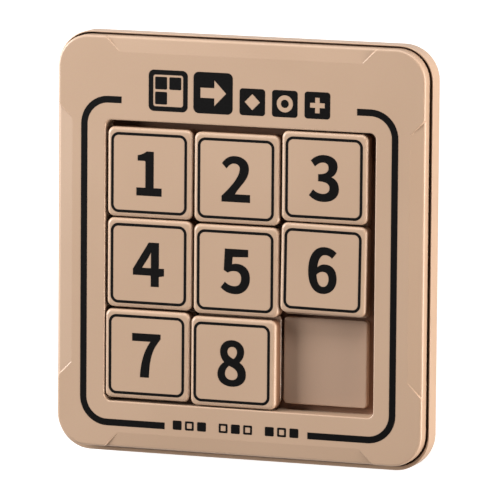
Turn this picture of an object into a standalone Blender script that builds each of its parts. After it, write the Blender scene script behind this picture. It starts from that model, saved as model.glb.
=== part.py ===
"""Magnetic 3 x 3 sliding number puzzle: a two-shell plastic case with nine raised pads in a square
well, eight numbered tiles that slide on the pads, and one empty cell at the lower right.

The case lies flat on its back: +Z is the face normal, +Y is the top of the numbers, and the origin is
the bottom centre of the lower shell. Units are metres.
"""

import math

import bmesh
import bpy
from mathutils import Matrix, Vector

MM = 0.001
GAP = 0.3 * MM
OVERSHOOT = 1.0 * MM  # how far a cutter reaches past the surface it cuts

# Case, seen from above
BEZEL_X, BEZEL_Y = 95.2 * MM, 102.4 * MM
BEZEL_CENTRE = Vector((0.0, 0.4 * MM))
CASE_CORNER = 7.8 * MM
FLANGE_OUT = 1.0 * MM

# Case, heights above the table
TOTAL_HEIGHT = 11.0 * MM
SEAM_TOP = 8.3 * MM
SEAM_BOTTOM = 7.9 * MM
GROOVE_FLOOR = 5.3 * MM
PAD_TOP = 7.1 * MM
WELL_UNDERSIDE = 4.1 * MM
BASE_FLOOR = 1.6 * MM
BOTTOM_ROUNDING = 3.6 * MM
BOWL_CHAMFER = 2.0 * MM
RIM_EDGE = 0.4 * MM
BEZEL_ROUNDING = 0.6 * MM
WALL = 1.6 * MM
RIM_WALL = 2.6 * MM

# Well and pads
WELL = 70.5 * MM
WELL_CENTRE = Vector((0.0, -4.0 * MM))
WELL_CORNER = 1.6 * MM
LIP_ROUNDING = 0.4 * MM
WELL_WALL = 1.5 * MM
PAD_PITCH = 22.3 * MM
PAD = 21.6 * MM
PAD_SHIFT = Vector((-1.0 * MM, -0.5 * MM))
PAD_CORNER = 1.0 * MM
PAD_ROUNDING = 0.3 * MM
PAD_SKIN = 1.2 * MM

# Sloped bands along the four sides of the bezel
FACET_WIDTH = 3.8 * MM
FACET_DROP = 0.5 * MM
FACET_END_X = 35.2 * MM
FACET_END_Y = 34.1 * MM

# Tiles: number, centre in the well, turn in degrees
TILE = 22.2 * MM
TILE_CORNER = 1.7 * MM
TILE_ROUNDING = 0.9 * MM
TILE_BOTTOM = PAD_TOP + GAP
TILE_WALL = 1.2 * MM
TILE_PLACES = {
    1: (-23.45, 22.00, 0.0),
    2: (-0.78, 21.80, 0.0),
    3: (21.95, 23.20, 0.0),
    4: (-23.45, -0.53, 0.0),
    5: (-0.80, -0.89, 0.0),
    6: (21.85, 0.60, -0.6),
    7: (-23.85, -23.26, 0.0),
    8: (-1.35, -23.80, 0.0),
}
COVER_THICKNESS = 0.8 * MM
MAGNET_RADIUS = 6.0 * MM
MAGNET_THICKNESS = 1.0 * MM

# Steel squares under the pads, and the posts that hold them up
STEEL = 18.6 * MM
STEEL_THICKNESS = 0.8 * MM
POST_RADIUS = 2.5 * MM

# Screws
SCREW_X, SCREW_Y = 41.2 * MM, 45.2 * MM
BOSS_RADIUS = 3.2 * MM
BOSS_TOP = 5.2 * MM
SCREW_RADIUS = 1.15 * MM
SCREW_LENGTH = 6.0 * MM
HEAD_RADIUS = 2.1 * MM
HEAD_HEIGHT = 1.4 * MM
HEAD_RECESS = 0.4 * MM
HEAD_FACE = 0.7  # flat face of the head, as a share of its radius
HEAD_DOME = 0.4  # domed part of the head, as a share of its height
TIP_LENGTH = 1.0 * MM
TIP_BLUNT = 0.4  # end of the tip, as a share of the shank's radius

ARC_STEPS = 4
SMALLEST_RADIUS = 0.1 * MM


def clear_scene():
    for item in list(bpy.data.objects):
        bpy.data.objects.remove(item)


def linear(channel):
    """One sRGB channel, 0 to 255, as linear light."""
    c = channel / 255
    return c / 12.92 if c <= 0.04045 else ((c + 0.055) / 1.055) ** 2.4


def material(name, srgb, roughness, metallic=0.0):
    mat = bpy.data.materials.get(name) or bpy.data.materials.new(name)
    mat.use_nodes = True
    shader = mat.node_tree.nodes["Principled BSDF"]
    shader.inputs["Base Color"].default_value = (*[linear(c) for c in srgb], 1.0)
    shader.inputs["Roughness"].default_value = roughness
    shader.inputs["Metallic"].default_value = metallic
    return mat


def case_plastic():
    return material("moulded_case_plastic", (203, 171, 143), 0.42)


def tile_plastic():
    return material("moulded_tile_plastic", (207, 176, 148), 0.40)


def steel_finish():
    return material("zinc_plated_steel", (176, 180, 184), 0.32, 1.0)


def magnet_finish():
    return material("nickel_plated_magnet", (150, 150, 152), 0.25, 1.0)


def rounded_square(half_x, half_y, radius, steps=ARC_STEPS):
    """Corner-rounded rectangle, anticlockwise from the right side's upper end."""
    points = []
    for corner, (sx, sy) in enumerate(((1, 1), (-1, 1), (-1, -1), (1, -1))):
        cx, cy = sx * (half_x - radius), sy * (half_y - radius)
        for step in range(steps + 1):
            angle = math.radians(90 * (corner + step / steps))
            points.append((cx + radius * math.cos(angle), cy + radius * math.sin(angle)))
    return points


def circle(radius, sides):
    return [
        (radius * math.cos(math.tau * i / sides), radius * math.sin(math.tau * i / sides))
        for i in range(sides)
    ]


def mesh_from_loops(name, loops):
    """A closed solid through outlines of equal length, from the lowest to the highest."""
    bm = bmesh.new()
    rings = [[bm.verts.new(point) for point in loop] for loop in loops]
    for low, high in zip(rings, rings[1:]):
        for i, vert in enumerate(low):
            j = (i + 1) % len(low)
            bm.faces.new((vert, low[j], high[j], high[i]))
    bm.faces.new(list(reversed(rings[0])))
    bm.faces.new(rings[-1])
    bmesh.ops.recalc_face_normals(bm, faces=bm.faces)
    mesh = bpy.data.meshes.new(name)
    bm.to_mesh(mesh)
    bm.free()
    mesh.shade_smooth()
    mesh.set_sharp_from_angle(angle=math.radians(30))
    return mesh


def add_object(name, mesh, finish=None, at=(0.0, 0.0, 0.0), parent=None):
    ob = bpy.data.objects.new(name, mesh)
    ob.location = at
    ob.parent = parent
    if finish:
        ob.data.materials.clear()
        ob.data.materials.append(finish)
    bpy.context.scene.collection.objects.link(ob)
    return ob


def slab(name, half_x, half_y, radius, layers, steps=ARC_STEPS):
    """A rounded-square solid. layers are (height, inset) pairs from the bottom up."""
    loops = []
    for z, inset in layers:
        outline = rounded_square(half_x - inset, half_y - inset, max(radius - inset, SMALLEST_RADIUS), steps)
        loops.append([(x, y, z) for x, y in outline])
    return mesh_from_loops(name, loops)


def disc(name, radii, sides):
    """A round solid. radii are (height, radius) pairs from the bottom up."""
    return mesh_from_loops(name, [[(x, y, z) for x, y in circle(r, sides)] for z, r in radii])


def round_over(z_top, radius, steps):
    """(height, inset) pairs of an edge rounding that ends level with z_top."""
    pairs = []
    for i in range(steps + 1):
        angle = math.radians(90 * i / steps)
        pairs.append((z_top - radius + radius * math.sin(angle), radius * (1 - math.cos(angle))))
    return pairs


def combine(target, other, operation):
    """Union with, or cut by, a hidden guide object."""
    other.hide_render = True
    other.display_type = "WIRE"
    step = target.modifiers.new(other.name, "BOOLEAN")
    step.operation = operation
    step.solver = "EXACT"
    step.object = other


def pad_places():
    """Centres of the nine pads, row by row from the top left."""
    middle = WELL_CENTRE + PAD_SHIFT
    return [
        (middle.x + column * PAD_PITCH, middle.y - row * PAD_PITCH)
        for row in (-1, 0, 1)
        for column in (-1, 0, 1)
    ]


def screw_places():
    return [(sx * SCREW_X, sy * SCREW_Y) for sy in (1, -1) for sx in (-1, 1)]


def facet_cutter(name, side_angle, reach, end, top):
    """Wedge over one side of the bezel: it slopes down outward and ends in 45 degree steps."""
    out = reach + OVERSHOOT
    slope = FACET_DROP / FACET_WIDTH
    inner = reach - FACET_WIDTH
    inner_end = end - FACET_WIDTH
    outer_end = inner_end + (out - inner)
    low = top - slope * (out - inner)
    lid = top + OVERSHOOT
    corners = [
        (inner, -inner_end, top),
        (out, -outer_end, low),
        (out, outer_end, low),
        (inner, inner_end, top),
    ]
    bm = bmesh.new()
    bottom = [bm.verts.new(c) for c in corners]
    ceiling = [bm.verts.new((x, y, lid)) for x, y, _ in corners]
    for i in range(4):
        j = (i + 1) % 4
        bm.faces.new((bottom[i], bottom[j], ceiling[j], ceiling[i]))
    bm.faces.new(list(reversed(bottom)))
    bm.faces.new(ceiling)
    bmesh.ops.recalc_face_normals(bm, faces=bm.faces)
    bm.transform(Matrix.Rotation(math.radians(side_angle), 4, "Z"))
    mesh = bpy.data.meshes.new(name)
    bm.to_mesh(mesh)
    bm.free()
    return mesh


def build_upper_shell():
    """Bezel, skirt, well, pads and screw posts, moulded in one."""
    half_x, half_y = BEZEL_X / 2, BEZEL_Y / 2
    bezel_at = (*BEZEL_CENTRE, 0.0)
    layers = [(SEAM_TOP, 0.0)] + round_over(TOTAL_HEIGHT, BEZEL_ROUNDING, 3)
    shell = add_object(
        "upper_shell", slab("upper_shell", half_x, half_y, CASE_CORNER, layers), case_plastic(), bezel_at
    )
    for name, angle, reach, end in (
        ("facet_right", 0, half_x, FACET_END_Y),
        ("facet_top", 90, half_y, FACET_END_X),
        ("facet_left", 180, half_x, FACET_END_Y),
        ("facet_bottom", 270, half_y, FACET_END_X),
    ):
        wedge = facet_cutter(name, angle, reach, end, TOTAL_HEIGHT)
        combine(shell, add_object(name, wedge, at=bezel_at), "DIFFERENCE")

    ceiling = TOTAL_HEIGHT - WALL
    hollow = slab(
        "hollow", half_x - WALL, half_y - WALL, CASE_CORNER - WALL, [(SEAM_TOP - OVERSHOOT, 0.0), (ceiling, 0.0)]
    )
    combine(shell, add_object("hollow", hollow, at=bezel_at), "DIFFERENCE")

    well_at = (*WELL_CENTRE, 0.0)
    box_half = WELL / 2 + WELL_WALL
    box_top = TOTAL_HEIGHT - WALL / 2
    box = slab("well_box", box_half, box_half, WELL_CORNER + WELL_WALL, [(WELL_UNDERSIDE, 0.0), (box_top, 0.0)])
    combine(shell, add_object("well_box", box, at=well_at), "UNION")
    for i, (x, y) in enumerate(screw_places(), 1):
        post = disc(f"post_{i}", [(BOSS_TOP + GAP, POST_RADIUS), (box_top, POST_RADIUS)], 16)
        combine(shell, add_object(f"post_{i}", post, at=(x, y, 0.0)), "UNION")

    lip = [(z, -inset) for z, inset in round_over(TOTAL_HEIGHT, LIP_ROUNDING, 2)]
    well_layers = [(GROOVE_FLOOR, 0.0), *lip, (TOTAL_HEIGHT + OVERSHOOT, -LIP_ROUNDING)]
    well = slab("well", WELL / 2, WELL / 2, WELL_CORNER, well_layers)
    combine(shell, add_object("well", well, at=well_at), "DIFFERENCE")

    pocket_half = STEEL / 2 + GAP
    for i, (x, y) in enumerate(pad_places(), 1):
        pad_layers = [(GROOVE_FLOOR - WALL / 2, 0.0), *round_over(PAD_TOP, PAD_ROUNDING, 1)]
        pad = slab(f"pad_{i}", PAD / 2, PAD / 2, PAD_CORNER, pad_layers, 2)
        combine(shell, add_object(f"pad_{i}", pad, at=(x, y, 0.0)), "UNION")
        pocket_layers = [(WELL_UNDERSIDE - OVERSHOOT, 0.0), (PAD_TOP - PAD_SKIN, 0.0)]
        pocket = slab(f"pocket_{i}", pocket_half, pocket_half, PAD_CORNER, pocket_layers, 1)
        combine(shell, add_object(f"pocket_{i}", pocket, at=(x, y, 0.0)), "DIFFERENCE")

    pilot_radius = SCREW_RADIUS + GAP
    for i, (x, y) in enumerate(screw_places(), 1):
        pilot = disc(f"pilot_{i}", [(BOSS_TOP - OVERSHOOT, pilot_radius), (ceiling - GAP, pilot_radius)], 12)
        combine(shell, add_object(f"pilot_{i}", pilot, at=(x, y, 0.0)), "DIFFERENCE")


def build_lower_shell():
    """Tray with a standing-out rim, nine posts under the steel squares and four screw bosses."""
    half_x, half_y = BEZEL_X / 2 + FLANGE_OUT, BEZEL_Y / 2 + FLANGE_OUT
    corner = CASE_CORNER + FLANGE_OUT
    rounding = [(BOTTOM_ROUNDING - (z - BOTTOM_ROUNDING), inset) for z, inset in
                reversed(round_over(2 * BOTTOM_ROUNDING, BOTTOM_ROUNDING, 4))]
    layers = rounding + [(SEAM_BOTTOM - RIM_EDGE, 0.0), (SEAM_BOTTOM, RIM_EDGE)]
    tray = add_object("lower_shell", slab("lower_shell", half_x, half_y, corner, layers), case_plastic())

    bowl_layers = [
        (BASE_FLOOR, BOWL_CHAMFER),
        (BOTTOM_ROUNDING, 0.0),
        (SEAM_BOTTOM + OVERSHOOT, 0.0),
    ]
    bowl = slab("bowl", half_x - RIM_WALL, half_y - RIM_WALL, corner - RIM_WALL, bowl_layers)
    combine(tray, add_object("bowl", bowl), "DIFFERENCE")

    steel_underside = PAD_TOP - PAD_SKIN - GAP - STEEL_THICKNESS
    for i, (x, y) in enumerate(pad_places(), 1):
        layers = [(BASE_FLOOR / 2, POST_RADIUS), (steel_underside - GAP, POST_RADIUS)]
        combine(tray, add_object(f"steel_post_{i}", disc(f"steel_post_{i}", layers, 12), at=(x, y, 0.0)), "UNION")
    for i, (x, y) in enumerate(screw_places(), 1):
        layers = [(BASE_FLOOR / 2, BOSS_RADIUS), (BOSS_TOP, BOSS_RADIUS)]
        combine(tray, add_object(f"boss_{i}", disc(f"boss_{i}", layers, 16), at=(x, y, 0.0)), "UNION")
        sink = HEAD_RECESS + HEAD_HEIGHT + GAP
        bore, clearance = HEAD_RADIUS + GAP, SCREW_RADIUS + GAP
        hole = disc(f"hole_{i}", [(-OVERSHOOT, bore), (sink, bore), (sink, clearance), (BOSS_TOP + OVERSHOOT, clearance)], 16)
        combine(tray, add_object(f"hole_{i}", hole, at=(x, y, 0.0)), "DIFFERENCE")


def build_screws():
    """Four self-tapping pan-head screws, driven up from underneath."""
    head_low, head_high = HEAD_RECESS, HEAD_RECESS + HEAD_HEIGHT
    tip = head_high + SCREW_LENGTH
    profile = [
        (head_low, HEAD_RADIUS * HEAD_FACE),
        (head_low + HEAD_HEIGHT * HEAD_DOME, HEAD_RADIUS),
        (head_high, HEAD_RADIUS),
        (head_high, SCREW_RADIUS),
        (tip - TIP_LENGTH, SCREW_RADIUS),
        (tip, SCREW_RADIUS * TIP_BLUNT),
    ]
    mesh = disc("screw", profile, 16)
    for i, (x, y) in enumerate(screw_places(), 1):
        add_object(f"screw_{i}", mesh, steel_finish(), (x, y, 0.0))


def build_steel_squares():
    """Sheet-steel squares in the pockets under the pads, which hold the tiles' magnets down."""
    top = PAD_TOP - PAD_SKIN - GAP
    mesh = slab("steel_square", STEEL / 2, STEEL / 2, PAD_CORNER, [(top - STEEL_THICKNESS, 0.0), (top, 0.0)], 1)
    for i, (x, y) in enumerate(pad_places(), 1):
        add_object(f"steel_square_{i}", mesh, steel_finish(), (x, y, 0.0))


def build_tiles():
    """Eight hollow caps, each closed by a cover with a disc magnet inside."""
    half = TILE / 2
    height = TOTAL_HEIGHT - TILE_BOTTOM
    room = half - TILE_WALL
    cap_mesh = slab("cap", half, half, TILE_CORNER, [(0.0, 0.0)] + round_over(height, TILE_ROUNDING, 3))
    room_mesh = slab("room", room, room, TILE_CORNER / 2, [(-OVERSHOOT, 0.0), (height - TILE_WALL, 0.0)], 2)
    cover_half = room - GAP
    cover_mesh = slab("cover", cover_half, cover_half, TILE_CORNER / 2, [(0.0, 0.0), (COVER_THICKNESS, 0.0)], 2)
    magnet_low = COVER_THICKNESS + GAP
    magnet_layers = [(magnet_low, MAGNET_RADIUS), (magnet_low + MAGNET_THICKNESS, MAGNET_RADIUS)]
    magnet_mesh = disc("magnet", magnet_layers, 24)
    for number, (x, y, turn) in TILE_PLACES.items():
        place = bpy.data.objects.new(f"tile_{number}_slide_axis", None)
        place.location = (WELL_CENTRE.x + x * MM, WELL_CENTRE.y + y * MM, TILE_BOTTOM)
        place.rotation_euler.z = math.radians(turn)
        bpy.context.scene.collection.objects.link(place)
        cap = add_object(f"tile_{number}_cap", cap_mesh, tile_plastic(), parent=place)
        combine(cap, add_object(f"tile_{number}_room", room_mesh, parent=place), "DIFFERENCE")
        add_object(f"tile_{number}_cover", cover_mesh, tile_plastic(), parent=place)
        add_object(f"tile_{number}_magnet", magnet_mesh, magnet_finish(), parent=place)


clear_scene()
build_upper_shell()
build_lower_shell()
build_screws()
build_steel_squares()
build_tiles()
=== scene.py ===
"""Sliding number puzzle: the finished surfaces, inks and studio around the packed CAD frame.

The case lies flat on its back: +Z is the face normal and +Y is the top of the numbers.
Everything is in metres, in the frame's own place.
"""

import math

import bmesh
import bpy
from bpy.props import FloatProperty, FloatVectorProperty, IntProperty, PointerProperty
from mathutils import Matrix, Vector


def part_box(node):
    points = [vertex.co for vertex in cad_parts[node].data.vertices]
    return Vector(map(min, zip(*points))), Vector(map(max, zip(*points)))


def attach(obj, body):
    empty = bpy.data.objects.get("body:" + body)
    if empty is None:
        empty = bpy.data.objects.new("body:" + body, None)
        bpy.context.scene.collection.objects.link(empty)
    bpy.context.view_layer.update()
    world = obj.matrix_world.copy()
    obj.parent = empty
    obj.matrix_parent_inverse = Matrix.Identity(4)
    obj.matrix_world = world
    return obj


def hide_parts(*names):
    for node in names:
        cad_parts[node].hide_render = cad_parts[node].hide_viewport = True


MM = 0.001
BEZEL_SHORTFALL = 0.16 * MM  # how much sooner than the CAD's the bezel ends along its upper side

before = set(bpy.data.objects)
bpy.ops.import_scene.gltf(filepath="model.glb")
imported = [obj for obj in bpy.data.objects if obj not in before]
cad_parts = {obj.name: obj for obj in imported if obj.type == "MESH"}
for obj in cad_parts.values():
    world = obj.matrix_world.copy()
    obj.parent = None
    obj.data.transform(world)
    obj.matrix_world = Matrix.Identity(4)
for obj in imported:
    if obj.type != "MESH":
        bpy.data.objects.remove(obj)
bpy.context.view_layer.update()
BEZEL_LOW, BEZEL_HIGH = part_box("upper_shell")
BEZEL_HIGH.y -= BEZEL_SHORTFALL
TRAY_LOW, TRAY_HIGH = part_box("lower_shell")
CAP_LOW, CAP_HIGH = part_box("tile_5_cap")
SCREW_LOW, SCREW_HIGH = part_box("screw_1")

bl_info = {
    "name": "Sliding Number Puzzle",
    "version": (1, 0, 0),
    "blender": (4, 5, 0),
    "location": "View3D > Sidebar > Puzzle",
    "description": "Moulded case, numbered tiles, printing and studio of a sliding number puzzle",
    "category": "Object",
}

TILE_NUMBERS = range(1, 9)
TILE_TURNS = {6: math.radians(-0.6)}  # one tile sits slightly turned in its cell
PRINT_SHIFTS = {3: 0.05, 8: -0.15}  # printing that landed off its tile's middle, across, in millimetres
SCREWS = [f"screw_{i}" for i in range(1, 5)]
CORNER_STEPS = 12
SUPPORT = 0.15 * MM  # a narrow ring beside a rounding keeps the flat next to it truly flat
INK_SOLID = 1.5  # how many times as thick as the ink the printed solid is: the surplus is sunk


def linear(hex_colour):
    """An sRGB hex colour as linear light."""
    channels = [int(hex_colour[i : i + 2], 16) / 255 for i in (0, 2, 4)]
    return tuple(c / 12.92 if c <= 0.04045 else ((c + 0.055) / 1.055) ** 2.4 for c in channels)


# ---------- settings


def length(name, description, millimetres):
    size = millimetres * MM
    return FloatProperty(name=name, description=description, default=size, precision=5, unit="LENGTH")


def colour(name, description, hex_colour):
    return FloatVectorProperty(
        name=name, description=description, default=linear(hex_colour), size=3, min=0, max=1, subtype="COLOR"
    )


class PuzzleCase(bpy.types.PropertyGroup):
    """Sizes of the two shells."""

    corner: length("Case corner", "Corner radius of the bezel", 7.8)
    edge_rounding: length("Edge rounding", "Rounding of the bezel's outer edge", 0.6)
    rim_out: length("Rim overhang", "How far the tray's rim stands out past the bezel", 1.0)
    rim_rounding: length("Rim rounding", "Rounding of the tray's rim", 0.12)
    gap_x: length("Shadow gap across", "Width of the shadow gap at the bezel's left and right sides", 0.72)
    gap_y: length("Shadow gap along", "Width of the shadow gap at the bezel's upper and lower sides", 0.5)
    gap_depth: length("Shadow gap depth", "How deep the shadow gap is", 2.2)
    foot_rounding: length("Foot rounding", "Rounding of the tray's bottom edge", 3.6)
    seam_top: length("Seam top", "Height of the bezel's lower edge", 7.45)
    skirt_wall: length("Skirt wall", "Wall thickness of the bezel's skirt", 1.6)
    tray_wall: length("Tray wall", "Wall thickness of the tray's rim", 2.6)
    tray_floor: length("Tray floor", "Thickness of the tray's floor", 1.6)
    bowl_chamfer: length("Bowl chamfer", "Slope where the tray's wall meets its floor", 2.0)
    band_width: length("Band width", "Width of the sloped bands along the bezel's sides", 3.8)
    band_drop: length("Band drop", "How far the sloped bands fall at the outer edge", 0.5)
    band_end_x: length("Band end across", "Where the top and bottom bands end, from the middle", 35.2)
    band_end_y: length("Band end along", "Where the side bands end, from the middle", 34.1)
    step_width: length("Step width", "Width of the small steps at the ends of the bands", 0.34)
    well_width: length("Well width", "Width of the well", 70.2)
    well_length: length("Well length", "Length of the well", 69.98)
    well_x: length("Well centre across", "Place of the well's centre across the face", -0.04)
    well_y: length("Well centre", "Place of the well's centre along the face", -4.23)
    well_corner: length("Well corner", "Corner radius of the well", 1.6)
    well_wall: length("Well wall", "Wall thickness around the well", 1.5)
    lip_rounding: length("Lip rounding", "Rounding of the well's upper edge", 0.3)
    floor_rounding: length("Floor rounding", "Rounding where the well's wall meets its floor", 0.25)
    well_floor: length("Well floor", "Height of the floor between the pads", 5.3)
    pad: length("Pad", "Side of a raised pad", 21.6)
    pad_pitch: length("Pad pitch", "Distance from pad to pad", 22.3)
    pad_top: length("Pad top", "Height of the pads", 7.1)
    pad_corner: length("Pad corner", "Corner radius of a pad", 1.0)
    pad_rounding: length("Pad rounding", "Rounding of a pad's upper edge", 0.3)
    pad_shift_x: length("Pad shift across", "How far the pads stand to one side of the well's centre", -1.0)
    pad_shift_y: length("Pad shift along", "How far the pads stand below the well's centre", -0.27)


class PuzzleTile(bpy.types.PropertyGroup):
    """Sizes of a tile's moulded cap."""

    side: length("Side", "Side of a tile", 22.2)
    corner: length("Corner", "Corner radius of a tile", 1.7)
    rounding: length("Rounding", "Rounding of a tile's upper edge", 0.9)
    wall: length("Wall", "Wall thickness of a tile", 1.2)


class PuzzlePrint(bpy.types.PropertyGroup):
    """Sizes of the printing."""

    ink: length("Ink", "Thickness of the ink", 0.03)
    square: length("Square", "Side of the square printed on a tile", 19.2)
    square_line: length("Square line", "Line width of that square", 0.69)
    square_corner: length("Square corner", "Corner radius of that square", 1.65)
    square_x: length("Square shift across", "How far the square sits to one side of a tile's middle", -0.16)
    square_y: length("Square shift along", "How far the square sits below a tile's middle", -0.1)
    number_x: length("Number shift", "How far the number sits to one side of a tile's middle", -0.25)
    swell: length("Ink swell", "How far the wet ink spread past the outline of a number", 0.08)
    bracket_line: length("Bracket line", "Line width of the two brackets around the well", 1.67)
    bracket_corner: length("Bracket corner", "Corner radius of the brackets", 6.3)
    bracket_x: length("Bracket reach across", "From the brackets' centre to their upright lines", 40.33)
    bracket_y: length("Bracket reach along", "From the brackets' centre to their level lines", 40.19)


class PuzzleScrew(bpy.types.PropertyGroup):
    """Sizes of the screws in the back."""

    shank: length("Shank", "Radius of the shank", 1.15)
    head_height: length("Head height", "Height of the head", 1.4)
    room: length("Room", "Room around a screw's head in its recess", 0.3)
    ridge: length("Ridge pitch", "Distance from one thread ridge to the next", 0.8)
    cross_width: length("Cross width", "Width of the cross recess", 0.6)
    cross_reach: length("Cross reach", "Length of one arm of the cross recess", 1.25)
    cross_depth: length("Cross depth", "Depth of the cross recess", 0.8)
    sides: IntProperty(name="Sides", description="Facets round a screw", default=32, min=12, max=96)


class PuzzleColours(bpy.types.PropertyGroup):
    """Colours of the finishes."""

    case: colour("Case", "Satin moulded plastic of the two shells", "AE927B")
    tile: colour("Tiles", "Satin moulded plastic of the tiles", "AE927B")
    pad: colour("Pads", "Polished plastic of the pads", "A98D79")
    ink: colour("Ink", "Black printing", "080707")
    zinc: colour("Zinc", "Zinc-plated steel", "B4B8BC")
    nickel: colour("Nickel", "Nickel plating of the magnets", "A6A29A")
    floor: colour("Floor", "Matt white studio floor", "F4F4F4")


SETTINGS = {
    "puzzle_case": PuzzleCase,
    "puzzle_tile": PuzzleTile,
    "puzzle_print": PuzzlePrint,
    "puzzle_screw": PuzzleScrew,
    "puzzle_colours": PuzzleColours,
}

# ---------- materials

MIX_A, MIX_B = 6, 7  # the colour sockets of a Mix node
EDGE_HIGHLIGHT = 1.14  # how much paler the edges are painted: a painted highlight where the surface turns
GAP_SHADE_TONE = (0.34, 0.20, 0.13)  # painted shade: the share of the plastic's red, green and blue left deep in a gap
SIDE_SHADE_HEIGHTS = (10.5 * MM, 9.7 * MM)  # heights between which upright sides are painted into a darker, warmer shade
FLOOR_SHADE_HEIGHTS = (7.4 * MM, 6.4 * MM)  # heights between which level floors are painted into a darker, warmer shade


def add_node(tree, kind, inputs=None, **settings):
    """A node with its settings.

    inputs maps a socket's name or place to a value, to a socket to link, or to a node to link by
    its first output in use.
    """
    node = tree.nodes.new(kind)
    for key, value in settings.items():
        setattr(node, key, value)
    for key, value in (inputs or {}).items():
        if isinstance(value, bpy.types.Node):
            value = next(socket for socket in value.outputs if socket.enabled)
        if isinstance(value, bpy.types.NodeSocket):
            tree.links.new(value, node.inputs[key])
        else:
            node.inputs[key].default_value = value
    return node


def new_material(name):
    """An empty material, its node tree and its object coordinates."""
    mat = bpy.data.materials.new(name)
    mat.use_nodes = True
    mat.node_tree.nodes.clear()
    return mat, mat.node_tree, add_node(mat.node_tree, "ShaderNodeTexCoord").outputs["Object"]


def close_material(mat, inputs):
    """Ends a material in its shader, with the shader's inputs."""
    shader = add_node(mat.node_tree, "ShaderNodeBsdfPrincipled", inputs)
    add_node(mat.node_tree, "ShaderNodeOutputMaterial", {"Surface": shader})
    return mat


def shade(base, factor):
    return (*[min(channel * factor, 1.0) for channel in base], 1.0)


def satin_plastic(name, base, roughness, grain, grain_height, side_shade, groove_shade):
    """Injection-moulded ABS, spark-eroded: the fine grain spreads a reflection into a broad satin one.

    grain is the width of one grain in metres, drawn coarser than the real one so that it shows. The
    slow drift of tint and gloss over two or three centimetres is what the flow in the mould and
    handling leave. Edges are painted a shade paler where the surface turns from level to upright:
    a painted highlight along every rounding. The pads' part of the mould is polished, so their grain is much
    lower.
    side_shade is how far upright sides are painted darker and browner below the edge, and
    groove_shade how far the level floors of the deep grooves are: painted shade, added to the
    warm dark that light takes on between close walls, which the lights alone leave too pale.
    """
    mat, tree, place = new_material(name)
    drift = add_node(tree, "ShaderNodeTexNoise", {"Vector": place, "Scale": 1 / (26 * MM), "Detail": 2.0})
    grains = {"Vector": place, "Scale": 1 / grain, "Detail": 3.0, "Roughness": 0.6}
    fine = add_node(tree, "ShaderNodeTexNoise", grains)

    # Painted highlight: the colour turns paler where the surface turns from level to upright, most at 45
    # degrees
    normal = add_node(tree, "ShaderNodeTexCoord").outputs["Normal"]
    up = add_node(tree, "ShaderNodeSeparateXYZ", {"Vector": normal}).outputs["Z"]
    level_part = add_node(tree, "ShaderNodeMath", {0: up, 1: up}, operation="MULTIPLY")
    upright_part = add_node(tree, "ShaderNodeMath", {0: 1.0, 1: level_part}, operation="SUBTRACT")
    turning = add_node(tree, "ShaderNodeMath", {0: level_part, 1: upright_part}, operation="MULTIPLY")
    edge_highlight_share = add_node(tree, "ShaderNodeMath", {0: turning, 1: 4.0}, operation="MULTIPLY")

    # Painted shade: upright sides below the edge and level floors of deep grooves darken to a warm brown
    height = add_node(tree, "ShaderNodeSeparateXYZ", {"Vector": place}).outputs["Z"]
    start, end = SIDE_SHADE_HEIGHTS
    below = {"Value": height, "From Min": start, "From Max": end, "To Max": side_shade}
    below_edge = add_node(tree, "ShaderNodeMapRange", below)
    side_shade_share = add_node(tree, "ShaderNodeMath", {0: below_edge, 1: upright_part}, operation="MULTIPLY")
    start, end = FLOOR_SHADE_HEIGHTS
    deep = {"Value": height, "From Min": start, "From Max": end, "To Max": groove_shade}
    deep_down = add_node(tree, "ShaderNodeMapRange", deep)
    upward = add_node(tree, "ShaderNodeMath", {0: up, 1: 0.5}, operation="GREATER_THAN")
    floor_shade_share = add_node(tree, "ShaderNodeMath", {0: deep_down, 1: upward}, operation="MULTIPLY")
    painted_shade_share = add_node(tree, "ShaderNodeMath", {0: side_shade_share, 1: floor_shade_share}, operation="ADD")
    painted_shade = (*[channel * part for channel, part in zip(base, GAP_SHADE_TONE)], 1.0)

    # The colour in layers: base tone, drift, grain, painted edge highlight, painted gap shade
    colour = shade(base, 0.965)
    for share, over, blend in (
        (drift, shade(base, 1.035), "MIX"),
        (0.08, fine.outputs["Color"], "SOFT_LIGHT"),
        (edge_highlight_share, shade(base, EDGE_HIGHLIGHT), "MIX"),
        (painted_shade_share, painted_shade, "MIX"),
    ):
        layer = {"Factor": share, MIX_A: colour, MIX_B: over}
        colour = add_node(tree, "ShaderNodeMix", layer, data_type="RGBA", blend_type=blend)

    drifting = {"Value": drift, "From Min": 0.3, "From Max": 0.7}
    span = {"To Min": roughness - 0.04, "To Max": roughness + 0.04}
    gloss = add_node(tree, "ShaderNodeMapRange", {**drifting, **span})
    bump = add_node(tree, "ShaderNodeBump", {"Height": fine, "Strength": 0.4, "Distance": grain_height})
    return close_material(mat, {"Base Color": colour, "Roughness": gloss, "Normal": bump, "IOR": 1.53})


def printed_ink(name, base):
    """Pad-printed black ink: half matt, with a faint orange-peel where the wet film drew level."""
    mat, tree, place = new_material(name)
    peel = add_node(tree, "ShaderNodeTexNoise", {"Vector": place, "Scale": 1 / (0.5 * MM), "Detail": 2.0})
    tones = {"Factor": peel, MIX_A: shade(base, 0.8), MIX_B: shade(base, 1.3)}
    tint = add_node(tree, "ShaderNodeMix", tones, data_type="RGBA")
    gloss = add_node(tree, "ShaderNodeMapRange", {"Value": peel, "To Min": 0.34, "To Max": 0.5})
    bump = add_node(tree, "ShaderNodeBump", {"Height": peel, "Strength": 0.25, "Distance": 0.01 * MM})
    inputs = {"Base Color": tint, "Roughness": gloss, "Normal": bump, "Specular IOR Level": 0.15}
    return close_material(mat, inputs)


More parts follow.
